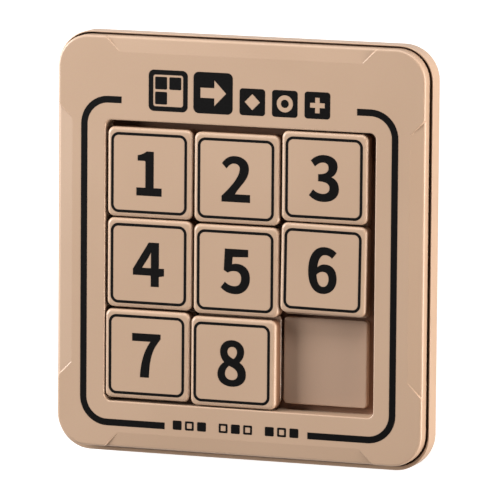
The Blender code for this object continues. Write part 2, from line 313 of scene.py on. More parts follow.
def plated_metal(name, base, roughness, brush):
    """Plated steel or magnet: bright metal, its plating drawn out in lines along X that stretch highlights.

    brush is the width of a line, drawn coarser than the real one so that it shows.
    """
    mat, tree, place = new_material(name)
    drawn = add_node(tree, "ShaderNodeMapping", {"Vector": place, "Scale": (0.08, 1.0, 1.0)})
    lines = add_node(tree, "ShaderNodeTexNoise", {"Vector": drawn, "Scale": 1 / brush, "Detail": 3.0})
    tones = {"Factor": lines, MIX_A: shade(base, 0.88), MIX_B: shade(base, 1.08)}
    tint = add_node(tree, "ShaderNodeMix", tones, data_type="RGBA")
    span = {"To Min": roughness - 0.08, "To Max": roughness + 0.08}
    gloss = add_node(tree, "ShaderNodeMapRange", {"Value": lines, **span})
    bump = add_node(tree, "ShaderNodeBump", {"Height": lines, "Strength": 0.2, "Distance": 0.01 * MM})
    return close_material(mat, {"Base Color": tint, "Roughness": gloss, "Normal": bump, "Metallic": 1.0})


def light_table(name, base, glow):
    """Opal acrylic table lit from below: matt white, and so bright that a shadow on it all but goes.

    The camera sees the whole glow and the object is lit by a fifth of it, which a real table doesn't
    do: the whole of it would wash out the object's sides.
    """
    mat, tree, place = new_material(name)
    fibre = add_node(tree, "ShaderNodeTexNoise", {"Vector": place, "Scale": 1 / (2 * MM), "Detail": 2.0})
    tones = {"Factor": fibre, MIX_A: shade(base, 0.99), MIX_B: shade(base, 1.0)}
    tint = add_node(tree, "ShaderNodeMix", tones, data_type="RGBA")
    seen = add_node(tree, "ShaderNodeLightPath").outputs["Is Camera Ray"]
    strength = add_node(tree, "ShaderNodeMapRange", {"Value": seen, "To Min": glow * 0.2, "To Max": glow})
    matt = {"Base Color": shade(base, 0.45), "Roughness": 0.95, "Specular IOR Level": 0.1}
    return close_material(mat, {**matt, "Emission Color": tint, "Emission Strength": strength})


# Each finish: its maker, its colour's name and the maker's other values in their order
FINISHES = {
    # The satin plastics' last two values are how much painted shade their upright sides and deep floors take
    "moulded_abs_case": (satin_plastic, "case", 0.40, 0.28 * MM, 0.006 * MM, 0.0, 0.9),
    "moulded_abs_tile": (satin_plastic, "tile", 0.38, 0.28 * MM, 0.005 * MM, 0.85, 0.0),
    "polished_abs_pad": (satin_plastic, "pad", 0.22, 0.3 * MM, 0.002 * MM, 0.0, 0.0),
    "pad_printed_ink": (printed_ink, "ink"),
    "zinc_plated_steel": (plated_metal, "zinc", 0.34, 0.12 * MM),
    "nickel_plated_magnet": (plated_metal, "nickel", 0.28, 0.2 * MM),
    "opal_light_table": (light_table, "floor", 0.95),
}


def finish_of(kind):
    """The material of one finish, made once."""
    found = bpy.data.materials.get(kind)
    if found:
        return found
    maker, tone, *values = FINISHES[kind]
    return maker(kind, getattr(bpy.context.scene.puzzle_colours, tone), *values)


# ---------- meshes

PLAIN_SIDES = ([-1.0, -0.5, 0.0, 0.5, 1.0],) * 2


def outline(half_x, half_y, radius, shares=PLAIN_SIDES):
    """Corner-rounded rectangle, anticlockwise from the right side's lower end.

    shares are the places of the points along the straight part of the upright and of the level
    sides, from -1 to 1.
    """
    points = []
    for side in range(4):
        out, along = (half_x, half_y) if side % 2 == 0 else (half_y, half_x)
        straight = along - radius
        turn = Matrix.Rotation(math.radians(90 * side), 2)
        points += [turn @ Vector((out, share * straight)) for share in shares[side % 2]]
        for step in range(1, CORNER_STEPS):
            angle = math.radians(90 * step / CORNER_STEPS)
            arc = Vector((out - radius + radius * math.cos(angle), straight + radius * math.sin(angle)))
            points.append(turn @ arc)
    return points


def level(points, z, centre=(0.0, 0.0)):
    return [Vector((p.x + centre[0], p.y + centre[1], z)) for p in points]


def square_ring(half, corner, inset, z):
    """A corner-rounded square about the origin, moved in by inset."""
    return level(outline(half - inset, half - inset, max(corner - inset, SUPPORT)), z)


def circle(radius, z, sides, centre=(0.0, 0.0)):
    """A level circle of points about a centre."""
    turns = [math.tau * k / sides for k in range(sides)]
    return [Vector((centre[0] + radius * math.cos(a), centre[1] + radius * math.sin(a), z)) for a in turns]


def quarter(steps):
    """(cosine, sine) pairs from 0 to 90 degrees."""
    return [(math.cos(math.pi / 2 * i / steps), math.sin(math.pi / 2 * i / steps)) for i in range(steps + 1)]


def quarter_turns(points):
    """The points as they are, then turned by one, two and three quarter turns."""
    return [(x * c - y * s, x * s + y * c) for c, s in ((1, 0), (0, 1), (-1, 0), (0, -1)) for x, y in points]


def add_rings(bm, rings, close_first=True):
    """Skins rings of equal length with four-sided faces, closes the ends and returns the vertices."""
    loops = [[bm.verts.new(point) for point in ring] for ring in rings]
    for low, high in zip(loops, loops[1:]):
        for i, vert in enumerate(low):
            j = (i + 1) % len(low)
            bm.faces.new((vert, low[j], high[j], high[i]))
    if close_first:
        bm.faces.new(list(reversed(loops[0])))
    bm.faces.new(loops[-1])
    return loops


def loop_edges(bm, loop):
    """The edges that join a ring's vertices."""
    return [bm.edges.get(pair) for pair in zip(loop, loop[1:] + loop[:1])]


def wire_mesh(name, points, edges=()):
    """Bare points at height 0, joined by edges: what a Geometry Nodes tree starts from."""
    mesh = bpy.data.meshes.new(name)
    mesh.from_pydata([(*point, 0.0) for point in points], edges, [])
    return mesh


def finished_mesh(name, bm, sharp_angle=35):
    """The mesh of a closed solid, its faces outward, smooth except at edges sharper than the angle."""
    bmesh.ops.recalc_face_normals(bm, faces=bm.faces)
    mesh = bpy.data.meshes.new(name)
    bm.to_mesh(mesh)
    bm.free()
    mesh.shade_smooth()
    mesh.set_sharp_from_angle(angle=math.radians(sharp_angle))
    return mesh


def ring_mesh(name, rings):
    bm = bmesh.new()
    add_rings(bm, rings)
    return finished_mesh(name, bm)


def add_piece(name, mesh, kind, body, replaced=()):
    """Adds an object of one finish, at the origin, that rides on its body."""
    mesh.materials.clear()
    mesh.materials.append(finish_of(kind))
    piece = bpy.data.objects.new(name, mesh)
    bpy.context.scene.collection.objects.link(piece)
    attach(piece, body)
    if replaced:
        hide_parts(*replaced)


def guide(name, mesh):
    """An object that is only used to make another one."""
    helper = bpy.data.objects.new(name, mesh)
    bpy.context.scene.collection.objects.link(helper)
    return helper


def baked(helper, *others):
    """The helper's finished mesh, with its modifiers carried out; the helpers are then removed."""
    bpy.context.view_layer.update()
    evaluated = helper.evaluated_get(bpy.context.evaluated_depsgraph_get())
    mesh = bpy.data.meshes.new_from_object(evaluated)
    helper.modifiers.clear()
    for item in (helper, *others):
        bpy.data.objects.remove(item)
    return mesh


def box_middle(node):
    low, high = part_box(node)
    return (low + high) / 2


# ---------- geometry nodes


def tree_with(name, inputs):
    """An empty Geometry Nodes tree with named inputs of the kinds given, and its input sockets."""
    tree = bpy.data.node_groups.new(name, "GeometryNodeTree")
    for label, kind in {"Geometry": "Geometry", **inputs}.items():
        tree.interface.new_socket(label, in_out="INPUT", socket_type="NodeSocket" + kind)
    tree.interface.new_socket("Geometry", in_out="OUTPUT", socket_type="NodeSocketGeometry")
    return tree, add_node(tree, "NodeGroupInput").outputs


def close_tree(tree, geometry, material):
    """Ends a tree in Realize Instances and Set Material."""
    real = add_node(tree, "GeometryNodeRealizeInstances", {"Geometry": geometry})
    painted = add_node(tree, "GeometryNodeSetMaterial", {"Geometry": real, "Material": material})
    add_node(tree, "NodeGroupOutput", {"Geometry": painted})
    return tree


def grid_tree():
    """Pieces on a grid: one object repeated in columns and rows."""
    inputs = {
        "Piece": "Object",
        "Columns": "Int",
        "Rows": "Int",
        "Size X": "Float",
        "Size Y": "Float",
        "Centre": "Vector",
        "Finish": "Material",
    }
    tree, given = tree_with("pieces_on_a_grid", inputs)
    sizes = {"Size X": given["Size X"], "Size Y": given["Size Y"]}
    counts = {"Vertices X": given["Columns"], "Vertices Y": given["Rows"]}
    grid = add_node(tree, "GeometryNodeMeshGrid", {**sizes, **counts})
    moved = add_node(tree, "GeometryNodeTransform", {"Geometry": grid, "Translation": given["Centre"]})
    piece = add_node(tree, "GeometryNodeObjectInfo", {"Object": given["Piece"]}).outputs["Geometry"]
    repeated = add_node(tree, "GeometryNodeInstanceOnPoints", {"Points": moved, "Instance": piece})
    return close_tree(tree, repeated, given["Finish"])


def line_tree():
    """A printed line: a thin flat band of ink along a path, its corners rounded."""
    inputs = {
        "Line Width": "Float",
        "Ink Thickness": "Float",
        "Corner Radius": "Float",
        "Corner Steps": "Int",
        "Ink": "Material",
    }
    tree, given = tree_with("printed_line", inputs)
    path = add_node(tree, "GeometryNodeMeshToCurve", {"Mesh": given["Geometry"]})
    corners = {"Curve": path, "Count": given["Corner Steps"], "Radius": given["Corner Radius"]}
    rounded = add_node(tree, "GeometryNodeFilletCurve", corners, mode="POLY")
    size = {"Width": given["Line Width"], "Height": given["Ink Thickness"]}
    profile = add_node(tree, "GeometryNodeCurvePrimitiveQuadrilateral", size)
    swept = {"Curve": rounded, "Profile Curve": profile, "Fill Caps": True}
    band = add_node(tree, "GeometryNodeCurveToMesh", swept)
    return close_tree(tree, band, given["Ink"])


def run_tree(helper, tree_name, maker, values, *others):
    """Runs a tree on the helper with its inputs set by identifier, and returns the plain mesh."""
    tree = bpy.data.node_groups.get(tree_name) or maker()
    modifier = helper.modifiers.new(tree_name, "NODES")
    modifier.node_group = tree
    for item in tree.interface.items_tree:
        if item.in_out == "INPUT" and item.name in values:
            modifier[item.identifier] = values[item.name]
    return baked(helper, *others)


def on_a_grid(name, mesh, count, size, centre, kind):
    """One mesh that repeats another on a grid of count by count, size being that from end to end."""
    piece = guide(mesh.name, mesh)
    values = {
        "Piece": piece,
        "Columns": count,
        "Rows": count,
        "Size X": size.x,
        "Size Y": size.y,
        "Centre": centre,
        "Finish": finish_of(kind),
    }
    start = guide(name, wire_mesh(name, [(0.0, 0.0)]))
    return run_tree(start, "pieces_on_a_grid", grid_tree, values, piece)


# ---------- case


def band_stations(case, inset):
    """Places along the bezel's sides for one ring, and the share of the band's fall at each.

    The bands end in lines at 45 degrees, so their ends move inward with the ring.
    """
    bezel = BEZEL_HIGH - BEZEL_LOW
    ease = (1.8, 1.0, 0.6, 0.3, 0.0, -0.3, -0.6, -1.0, -1.8)  # places across a step, in half widths
    falls = [0.5 - 0.5 * math.sin(math.pi / 2 * max(-1.0, min(1.0, step))) for step in ease]
    shares = []
    for along, end in ((bezel.y / 2, case.band_end_y), (bezel.x / 2, case.band_end_x)):
        straight = along - case.corner
        edge = end - min(inset, case.band_width)
        marks = [(edge + step * case.step_width / 2) / straight for step in ease]
        middle = marks[-1] / 2
        shares.append([-1.0, *[-m for m in marks], -middle, 0.0, middle, *reversed(marks), 1.0])
    side = [0.0, *falls, 1.0, 1.0, 1.0, *reversed(falls), 0.0]
    return shares, (side + [0.0] * (CORNER_STEPS - 1)) * 4


def bezel_ring(case, inset, z=None, below=0.0):
    """One ring of the bezel. Without z it lies on the bezel's face, lowered along the sloped bands."""
    shares, falls = band_stations(case, inset)
    middle = (BEZEL_LOW + BEZEL_HIGH) / 2
    half = (BEZEL_HIGH - BEZEL_LOW) / 2
    points = outline(half.x - inset, half.y - inset, case.corner - inset, shares)
    slope = max(0.0, case.band_width - inset) / case.band_width * case.band_drop
    face = bpy.context.scene.puzzle_print.ink
    ring = []
    for point, fall in zip(points, falls):
        height = z if z is not None else BEZEL_HIGH.z - face - fall * slope - below
        ring.append(Vector((point.x + middle.x, point.y + middle.y, height)))
    return ring


def well_ring(case, inset, z):
    """One ring of the well; a negative inset lies outside its opening."""
    shares, _ = band_stations(case, case.band_width)
    radius = max(case.well_corner - inset, SUPPORT)
    points = outline(case.well_width / 2 - inset, case.well_length / 2 - inset, radius, shares)
    return level(points, z, (case.well_x, case.well_y))


def case_top_mesh(case):
    """Bezel, skirt and well in one skin, from the middle of the underside round to the well's floor."""
    top = BEZEL_HIGH.z - bpy.context.scene.puzzle_print.ink
    ceiling = BEZEL_HIGH.z - case.skirt_wall
    edge, band, lip, foot = case.edge_rounding, case.band_width, case.lip_rounding, case.floor_rounding
    rings = [
        well_ring(case, -case.well_wall, BEZEL_LOW.z),
        well_ring(case, -case.well_wall, ceiling),
        bezel_ring(case, case.skirt_wall, z=ceiling),
        bezel_ring(case, case.skirt_wall, z=case.seam_top),
        bezel_ring(case, SUPPORT, z=case.seam_top),
        bezel_ring(case, 0.0, z=case.seam_top + SUPPORT),
        bezel_ring(case, 0.0, below=edge + SUPPORT),
    ]
    rings += [bezel_ring(case, edge * (1 - c), below=edge * (1 - s)) for c, s in quarter(6)]
    crease = 0.12 * MM
    for inset in (edge + SUPPORT, band / 2, band - crease, band, band + crease):
        rings.append(bezel_ring(case, inset))
    rings.append(well_ring(case, -lip - SUPPORT, top))
    rings += [well_ring(case, lip * (c - 1), top - lip * (1 - s)) for c, s in reversed(quarter(5))]
    rings.append(well_ring(case, 0.0, top - lip - SUPPORT))
    rings.append(well_ring(case, 0.0, case.well_floor + foot + SUPPORT))
    rings += [well_ring(case, foot * (1 - c), case.well_floor + foot * (1 - s)) for c, s in quarter(3)]
    rings.append(well_ring(case, foot + SUPPORT, case.well_floor))
    return ring_mesh("case_top", rings)


def pad_mesh(case):
    """One raised pad, its foot sunk in the well's floor."""
    half, corner, radius = case.pad / 2, case.pad_corner, case.pad_rounding
    rings = [square_ring(half, corner, 0.0, case.well_floor - SUPPORT)]
    for c, s in quarter(5):
        rings.append(square_ring(half, corner, radius * (1 - c), case.pad_top - radius * (1 - s)))
    rings.append(square_ring(half, corner, radius + SUPPORT, case.pad_top))
    return ring_mesh("pad", rings)


def tray_ring(case, inset, z):
    half = (TRAY_HIGH - TRAY_LOW) / 2
    middle = (TRAY_HIGH + TRAY_LOW) / 2
    points = outline(half.x - inset, half.y - inset, case.corner + case.rim_out - inset)
    return level(points, z, (middle.x, middle.y))


def case_bottom_mesh(case, screw):
    """Tray with a rounded foot, a standing-out rim and four screw recesses in its underside."""
    foot, rim = case.foot_rounding, case.rim_rounding
    rings = [tray_ring(case, foot + SUPPORT, TRAY_LOW.z)]
    for c, s in reversed(quarter(12)):
        rings.append(tray_ring(case, foot * (1 - c), TRAY_LOW.z + foot * (1 - s)))
    rings.append(tray_ring(case, 0.0, TRAY_LOW.z + foot + SUPPORT))
    rings.append(tray_ring(case, 0.0, TRAY_HIGH.z - rim - SUPPORT))
    for c, s in quarter(3):
        rings.append(tray_ring(case, rim * (1 - c), TRAY_HIGH.z - rim * (1 - s)))
    bezel = (BEZEL_HIGH - BEZEL_LOW) / 2
    round_bezel = outline(bezel.x + case.gap_x, bezel.y + case.gap_y, case.corner + case.gap_x)
    gap_floor = TRAY_HIGH.z - case.gap_depth
    for z in (TRAY_HIGH.z, gap_floor):
        rings.append(level(round_bezel, z, (BEZEL_HIGH.xy + BEZEL_LOW.xy) / 2))
    rings.append(tray_ring(case, case.tray_wall, gap_floor))
    rings.append(tray_ring(case, case.tray_wall, foot))
    rings.append(tray_ring(case, case.tray_wall + case.bowl_chamfer, case.tray_floor))
    bm = bmesh.new()
    loops = add_rings(bm, rings, close_first=False)
    edges = loop_edges(bm, loops[0])

    bore = (SCREW_HIGH.x - SCREW_LOW.x) / 2 + screw.room
    depth = SCREW_LOW.z + screw.head_height + screw.room
    steps = ((bore + SUPPORT, TRAY_LOW.z), (bore, SUPPORT), (bore, depth), (screw.shank, depth))
    for name in SCREWS:
        recess = [circle(radius, z, screw.sides, box_middle(name)) for radius, z in steps]
        edges += loop_edges(bm, add_rings(bm, recess, close_first=False)[0])
    bmesh.ops.triangle_fill(bm, edges=edges, use_beauty=True)
    return finished_mesh("case_bottom", bm)


# ---------- screws


def screw_mesh(screw):
    """A self-tapping pan-head screw, head down, with a cross recess and thread ridges."""
    low, tip = SCREW_LOW.z, SCREW_HIGH.z
    head = (SCREW_HIGH.x - SCREW_LOW.x) / 2
    dome, flat = 0.4, 0.7  # domed share of the head's height, flat share of its radius
    seat = low + screw.head_height
    root, point, taper = screw.shank * 0.8, screw.shank * 0.3, 0.55
    profile = []
    for c, s in reversed(quarter(6)):
        profile.append((low + screw.head_height * dome * (1 - s), head * (flat + (1 - flat) * c)))
    profile += [(seat - SUPPORT, head), (seat, head - SUPPORT), (seat, root)]
    z = seat + screw.ridge / 2
    while z < tip - screw.ridge:
        profile += [(z, root), (z + screw.ridge / 3, screw.shank), (z + screw.ridge * 0.6, root)]
        z += screw.ridge
    profile.append((tip, point))
    rings = [circle(radius, z, screw.sides) for z, radius in profile]
    body = guide("screw_body", ring_mesh("screw_body", rings))

    bm = bmesh.new()
    reach, narrow = screw.cross_reach, screw.cross_width / 2
    corners = quarter_turns([(reach, -narrow), (reach, narrow), (narrow, narrow)])
    mouth = [Vector((x, y, low - SUPPORT)) for x, y in corners]
    bottom = [Vector((x * taper, y * taper, low + screw.cross_depth)) for x, y in corners]
    add_rings(bm, [mouth, bottom])
    cross = guide("cross", finished_mesh("cross", bm))
    cut = body.modifiers.new("cross", "BOOLEAN")
    cut.operation, cut.solver, cut.object = "DIFFERENCE", "EXACT", cross
    mesh = baked(body, cross)
    mesh.shade_smooth()
    mesh.set_sharp_from_angle(angle=math.radians(30))
    return mesh


# ---------- tiles


def tile_cap_mesh(number, tile, ink):
    """A moulded cap, open underneath, with a broad rounding round its face."""
    middle = box_middle(f"tile_{number}_cap")
    height = CAP_HIGH.z - CAP_LOW.z - ink
    profile = [
        (tile.wall, height - tile.wall),
        (tile.wall, SUPPORT),
        (tile.wall - SUPPORT, 0.0),
        (SUPPORT, 0.0),
        (0.0, SUPPORT),
        (0.0, height - tile.rounding - SUPPORT),
    ]
    profile += [(tile.rounding * (1 - c), height - tile.rounding * (1 - s)) for c, s in quarter(9)]
    profile.append((tile.rounding + SUPPORT, height))
    rings = [square_ring(tile.side / 2, tile.corner, inset, z) for inset, z in profile]
    mesh = ring_mesh(f"tile_{number}_cap_skin", rings)
    spot = Matrix.Translation((middle.x, middle.y, CAP_LOW.z))
    mesh.transform(spot @ Matrix.Rotation(TILE_TURNS.get(number, 0.0), 4, "Z"))
    return mesh


# ---------- printing
# Outlines in millimetres from the middle of the print. Each is a start point and its segments:
# two numbers are a straight line to a point, six are a curve with its two handles first.

DIGITS = {
    1: [
        [(-0.5, 5.3), (1.25, 5.3), (1.25, -3.7), (3.35, -3.7), (3.35, -5.55), (-3.1, -5.55), (-3.1, -3.7),
         (-0.75, -3.7), (-0.75, 2.4), (-0.75, 2.95, -0.85, 3.1, -1.3, 3.1), (-2.8, 3.1), (-2.8, 4.3),
         (-1.9, 4.45, -1.2, 4.75, -0.5, 5.3)],
    ],
    2: [
        [(-3.4, 3.75), (-2.6, 4.95, -1.5, 5.55, -0.2, 5.55), (1.9, 5.55, 3.4, 4.4, 3.4, 2.5),
         (3.4, 1.1, 2.6, -0.2, 1.6, -1.35), (0.9, -2.2, 0.2, -3.0, -0.2, -3.85), (3.75, -3.85), (3.75, -5.65),
         (-3.5, -5.65), (-3.5, -4.35), (-0.9, -1.9, 1.2, 0.6, 1.2, 2.5), (1.2, 3.35, 0.5, 3.85, -0.45, 3.85),
         (-1.2, 3.85, -1.8, 3.3, -2.35, 2.6), (-3.4, 3.75)],
    ],
    3: [
        [(-3.2, 4.2), (-2.3, 5.1, -1.2, 5.6, 0.0, 5.6), (2.1, 5.6, 3.5, 4.6, 3.5, 2.95),
         (3.5, 1.7, 2.8, 0.7, 1.8, 0.3), (3.0, 0.0, 3.9, -1.1, 3.9, -2.6),
         (3.9, -4.6, 2.2, -5.75, 0.0, -5.75), (-1.6, -5.75, -2.8, -5.2, -3.6, -4.3), (-2.65, -3.0),
         (-2.0, -3.6, -1.2, -3.95, -0.2, -3.95), (0.9, -3.95, 1.65, -3.4, 1.65, -2.4),
         (1.65, -1.3, 0.6, -0.75, -1.3, -0.75), (-1.3, 0.85), (0.4, 0.85, 1.35, 1.4, 1.35, 2.5),
         (1.35, 3.4, 0.8, 3.9, -0.1, 3.9), (-0.9, 3.9, -1.6, 3.5, -2.2, 2.9), (-3.2, 4.2)],
    ],
    4: [
        [(0.2, 5.3), (2.75, 5.3), (2.75, -1.05), (4.1, -1.05), (4.1, -2.75), (2.75, -2.75), (2.75, -5.5),
         (0.8, -5.5), (0.8, -2.75), (-3.9, -2.75), (-3.9, -1.35), (0.2, 5.3)],
        [(0.82, -1.05), (-1.75, -1.05), (0.05, 1.75), (0.35, 2.3, 0.6, 2.8, 0.72, 3.15), (0.86, 3.15),
         (0.8, 2.4, 0.82, 1.6, 0.82, -1.05)],
    ],
    5: [
        [(-2.5, 5.3), (3.4, 5.3), (3.4, 3.6), (-0.6, 3.6), (-0.8, 1.45), (-0.4, 1.62, 0.0, 1.7, 0.45, 1.7),
         (2.4, 1.7, 3.9, 0.5, 3.9, -1.75), (3.9, -4.2, 2.2, -5.7, 0.1, -5.7),
         (-1.5, -5.7, -2.7, -5.1, -3.5, -4.25), (-2.5, -2.95), (-1.9, -3.5, -1.1, -3.9, -0.1, -3.9),
         (1.1, -3.9, 1.8, -3.1, 1.8, -1.85), (1.8, -0.7, 1.1, 0.0, 0.0, 0.0),
         (-0.7, 0.0, -1.1, -0.05, -1.8, -0.45), (-2.75, 0.1), (-2.5, 5.3)],
    ],
    6: [
        [(3.55, 4.35), (2.8, 5.1, 1.8, 5.6, 0.5, 5.6), (-1.9, 5.6, -3.5, 3.5, -3.5, -0.25),
         (-3.5, -4.0, -1.9, -5.8, 0.25, -5.8), (2.2, -5.8, 3.7, -4.3, 3.7, -2.2),
         (3.7, 0.1, 2.6, 1.35, 0.7, 1.35), (0.0, 1.35, -0.8, 1.05, -1.35, 0.35),
         (-1.2, 2.8, -0.3, 3.8, 0.65, 3.8), (1.5, 3.8, 2.1, 3.5, 2.5, 3.05), (3.55, 4.35)],
        [(-1.5, -1.2), (-1.0, -0.65, -0.4, -0.35, 0.2, -0.35), (1.2, -0.35, 1.8, -1.0, 1.8, -2.2),
         (1.8, -3.4, 1.2, -4.2, 0.3, -4.2), (-0.8, -4.2, -1.4, -3.1, -1.5, -1.2)],
    ],
    7: [
        [(-3.6, 5.3), (3.7, 5.3), (3.7, 4.2), (1.4, 1.4, 0.85, -0.9, 0.7, -5.5), (-1.5, -5.5),
         (-1.35, -1.6, -0.3, 1.4, 1.3, 3.5), (-3.6, 3.5), (-3.6, 5.3)],
    ],
    8: [
        [(0.2, 5.6), (2.0, 5.6, 3.25, 4.45, 3.25, 2.85), (3.25, 1.8, 2.7, 0.8, 2.0, 0.2),
         (3.0, -0.3, 3.75, -1.4, 3.75, -2.85), (3.75, -4.6, 2.3, -5.8, 0.15, -5.8),
         (-2.0, -5.8, -3.5, -4.6, -3.5, -2.85), (-3.5, -1.5, -2.7, -0.5, -1.75, 0.1),
         (-2.4, 0.8, -2.85, 1.7, -2.85, 2.75), (-2.85, 4.4, -1.6, 5.6, 0.2, 5.6)],
        [(0.2, 4.1), (1.1, 4.1, 1.55, 3.5, 1.55, 2.75), (1.55, 2.0, 1.2, 1.4, 0.6, 0.95),
         (-0.4, 1.35, -1.1, 1.9, -1.1, 2.75), (-1.1, 3.5, -0.6, 4.1, 0.2, 4.1)],
        [(-0.6, -0.65), (0.7, -1.05, 1.75, -1.75, 1.75, -2.85), (1.75, -3.75, 1.1, -4.3, 0.15, -4.3),
         (-0.95, -4.3, -1.7, -3.65, -1.7, -2.7), (-1.7, -1.8, -1.25, -1.15, -0.6, -0.65)],
    ],
}  # fmt: skip


def inked_mesh(name, outlines, thickness, swell=0.0):
    """A thin solid of ink from outlines in millimetres; an outline inside another one is a hole."""
    curve = bpy.data.curves.new(name, "CURVE")
    curve.dimensions, curve.fill_mode, curve.resolution_u = "2D", "BOTH", 10
    curve.extrude, curve.offset = thickness / MM / 2, swell / MM
    for start, *segments in outlines:
        spline = curve.splines.new("BEZIER")
        spline.use_cyclic_u = True
        spline.bezier_points.add(len(segments) - 1)
        knots = spline.bezier_points
        here = start
        for i, segment in enumerate(segments):
            knot, after = knots[i], knots[(i + 1) % len(knots)]
            end = segment[-2:]
            knot.co = (*here, 0.0)
            knot.handle_right = (*segment[:2], 0.0) if len(segment) == 6 else (*here, 0.0)
            after.handle_left = (*segment[2:4], 0.0) if len(segment) == 6 else (*end, 0.0)
            here = end
    mesh = baked(guide(name, curve))
    bpy.data.curves.remove(curve)
    mesh.transform(Matrix.Scale(MM, 4))
    return mesh


def joined(name, meshes):
    """One closed-up mesh from several."""
    bm = bmesh.new()
    for mesh in meshes:
        bm.from_mesh(mesh)
        bpy.data.meshes.remove(mesh)
    bmesh.ops.remove_doubles(bm, verts=bm.verts, dist=0.0005 * MM)
    return finished_mesh(name, bm, 30)


def frame_outline(half, corner, x=0.0, y=0.0):
    """A rounded square as one outline in millimetres."""
    arm, pull = half - corner, half - corner * 0.45
    turned = quarter_turns([(half, arm), (half, pull), (pull, half), (arm, half)])
    points = [(x + half, y - arm)]
    for i in range(0, len(turned), 4):
        first, handle, next_handle, last = [(x + across, y + along) for across, along in turned[i : i + 4]]
        points += [first, (*handle, *next_handle, *last)]
    return points


def cut_out(points, x, y):
    """A closed outline of straight lines round a place."""
    return [(x + across, y + along) for across, along in (*points, points[0])]


def slide_emblem(x, y):
    """A frame with three small blocks and one empty place."""
    parts = [frame_outline(5.1, 1.4, x, y), frame_outline(3.9, 0.6, x, y)]
    places = ((-1.85, 1.85), (1.85, 1.85), (-1.85, -1.85))
    return parts + [frame_outline(1.55, 0.3, x + across, y + along) for across, along in places]


def arrow_emblem(x, y):
    """A solid block with an arrow left out of it."""
    head = [(0.3, -3.2), (3.4, 0.0), (0.3, 3.2)]
    shaft = [(0.3, 1.25), (-3.3, 1.25), (-3.3, -1.25), (0.3, -1.25)]
    return [frame_outline(5.1, 1.4, x, y), cut_out(head + shaft, x, y)]


def small_emblems(x, y, pitch):
    """Three small blocks with a diamond, a ring and a cross left out of them."""
    parts = [frame_outline(3.3, 0.8, x + i * pitch, y) for i in range(3)]
    parts.append(cut_out(quarter_turns([(2.0, 0.0)]), x, y))
    parts += [frame_outline(radius, radius - 0.01, x + pitch, y) for radius in (2.1, 1.0)]
    parts.append(cut_out(quarter_turns([(1.9, -0.6), (1.9, 0.6), (0.6, 0.6)]), x + 2 * pitch, y))
    return parts


def tile_row(x, y):
    """Nine small blocks in three groups, every other one hollow."""
    group_pitch, block_pitch = 12.05, 3.2
    parts = []
    for group in range(3):
        for i in range(3):
            spot = x + group_pitch * (group - 1) + block_pitch * (i - 1)
            parts.append(frame_outline(1.15, 0.3, spot, y))
            if (group + i) % 2:
                parts.append(frame_outline(0.65, 0.12, spot, y))
    return parts


# Where the printing on the case stands, in millimetres across and along its face
BRACKET_CENTRE = (-0.33, -4.39)
BRACKET_ENDS = (-30.9, -19.1, 30.2, 18.2)  # across only: top left, bottom left, top right, bottom right
UPPER_ORNAMENT = slide_emblem(-18.7, 38.6) + arrow_emblem(-7.0, 38.6) + small_emblems(3.2, 36.9, 8.4)
LOWER_ORNAMENT = tile_row(-0.55, -44.2)


def bracket_path(reach_x, reach_y):
    """Two open paths round the well, about the brackets' centre."""
    top_left, bottom_left, top_right, bottom_right = [x * MM - BRACKET_CENTRE[0] * MM for x in BRACKET_ENDS]
    left = [(top_left, reach_y), (-reach_x, reach_y), (-reach_x, -reach_y), (bottom_left, -reach_y)]
    right = [(top_right, reach_y), (reach_x, reach_y), (reach_x, -reach_y), (bottom_right, -reach_y)]
    edges = [(i, i + 1) for i in (0, 1, 2, 4, 5, 6)]
    return wire_mesh("bracket_paths", left + right, edges)


def printed_line(path, width, corner):
    values = {
        "Line Width": width,
        "Ink Thickness": bpy.context.scene.puzzle_print.ink * INK_SOLID,
        "Corner Radius": corner,
        "Corner Steps": CORNER_STEPS,
        "Ink": finish_of("pad_printed_ink"),
    }
    return run_tree(guide(path.name, path), "printed_line", line_tree, values)


# ---------- operators


class PUZZLE_OT_case_top(bpy.types.Operator):
    """Make the bezel with its skirt and the square well"""

    bl_idname = "puzzle.case_top"
    bl_label = "Case top"

    def execute(self, context):
        mesh = case_top_mesh(context.scene.puzzle_case)
        add_piece("case_top", mesh, "moulded_abs_case", "case", ["upper_shell"])
        return {"FINISHED"}


class PUZZLE_OT_pads(bpy.types.Operator):
    """Set nine raised pads in the well, one under each cell"""

    bl_idname = "puzzle.pads"
    bl_label = "Pads"

    def execute(self, context):
        case = context.scene.puzzle_case
        size = Vector((2 * case.pad_pitch, 2 * case.pad_pitch))
        centre = (case.pad_shift_x, case.well_y + case.pad_shift_y, 0.0)
        mesh = on_a_grid("pads", pad_mesh(case), 3, size, centre, "polished_abs_pad")
        add_piece("well_pads", mesh, "polished_abs_pad", "case")
        return {"FINISHED"}


class PUZZLE_OT_case_bottom(bpy.types.Operator):
    """Make the tray that carries the case, with its four screw recesses"""

    bl_idname = "puzzle.case_bottom"
    bl_label = "Case bottom"

    def execute(self, context):
        mesh = case_bottom_mesh(context.scene.puzzle_case, context.scene.puzzle_screw)
        add_piece("case_bottom", mesh, "moulded_abs_case", "case", ["lower_shell"])
        return {"FINISHED"}


class PUZZLE_OT_screws(bpy.types.Operator):
    """Drive four pan-head screws into the back"""

    bl_idname = "puzzle.screws"
    bl_label = "Screws"

    def execute(self, context):
        middles = [box_middle(name) for name in SCREWS]
        across, along = [p.x for p in middles], [p.y for p in middles]
        size = Vector((max(across) - min(across), max(along) - min(along)))
        centre = (sum(across) / len(SCREWS), sum(along) / len(SCREWS), 0.0)
        screw = screw_mesh(context.scene.puzzle_screw)
        mesh = on_a_grid("screws", screw, 2, size, centre, "zinc_plated_steel")
        add_piece("back_screws", mesh, "zinc_plated_steel", "case", SCREWS)
        return {"FINISHED"}


